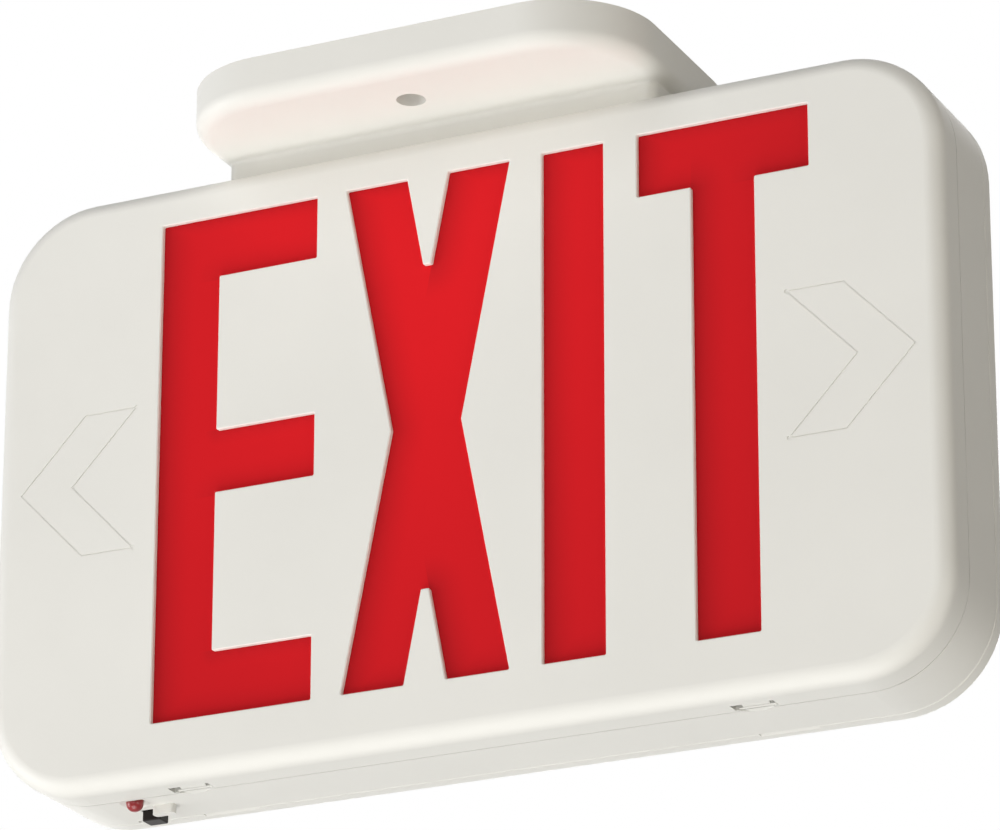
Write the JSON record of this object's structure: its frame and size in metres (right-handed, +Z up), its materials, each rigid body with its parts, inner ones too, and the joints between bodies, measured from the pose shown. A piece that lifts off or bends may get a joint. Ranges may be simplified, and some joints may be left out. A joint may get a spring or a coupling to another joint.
{
  "type": "emergency exit sign",
  "caption": "Ceiling-mounted LED emergency exit sign: rounded white stencil-faced housing with red legend lens, hung from a canopy, with test button, charge indicator and battery backup inside.",
  "frame": {"origin": "centre of the canopy's ceiling face, midway between its two screw holes", "axes": "+Z up into the ceiling, +X along the sign to the right seen from the front, -Y out of the legend face"},
  "size_m": [0.295, 0.1004, 0.2052],
  "materials": {
    "canopy_white": "satin",
    "cover_white": "satin",
    "frame_white": "satin",
    "back_white": "satin",
    "lens_red": "satin",
    "reflector_white": "matte",
    "screw_steel": "satin",
    "strip_board_white": "gloss",
    "led_package": "gloss",
    "button_black": "satin",
    "switch_black": "matte",
    "board_green": "gloss",
    "indicator_red": "gloss",
    "core_steel": "satin",
    "capacitor_sleeve": "gloss",
    "relay_blue": "gloss",
    "fuse_glass": "gloss",
    "connector_ivory": "satin",
    "lead_sleeve": "satin",
    "battery_wrap": "gloss",
    "strap_steel": "satin"
  },
  "bodies": {
    "sign": {"canopy": "canopy_white", "canopy_screws": "screw_steel", "front_cover": "cover_white", "legend_lens": "lens_red", "housing_frame": "frame_white", "back_cover": "back_white", "reflector_panel": "reflector_white", "reflector_screws": "screw_steel", "led_strip_top": "strip_board_white", "led_strip_bottom": "strip_board_white", "led_packages_top": "led_package", "led_packages_bottom": "led_package", "test_switch": "switch_black", "switch_board": "board_green", "indicator_led": "indicator_red", "charger_board": "board_green", "board_screws": "screw_steel", "transformer": "core_steel", "filter_capacitors": "capacitor_sleeve", "transfer_relay": "relay_blue", "fuse_link": "fuse_glass", "battery_header": "connector_ivory", "battery_plug": "connector_ivory", "battery_lead": "lead_sleeve", "battery_pack": "battery_wrap", "battery_strap": "strap_steel", "strap_screws": "screw_steel"},
    "button": {"test_button": "button_black"}
  },
  "joints": [
    {"name": "test_button_slide", "type": "slide", "parent": "sign", "child": "button", "axis": [0, 0, 1], "range_m": [0, 0.0015], "stiffness_N_per_m": 1000}
  ]
}
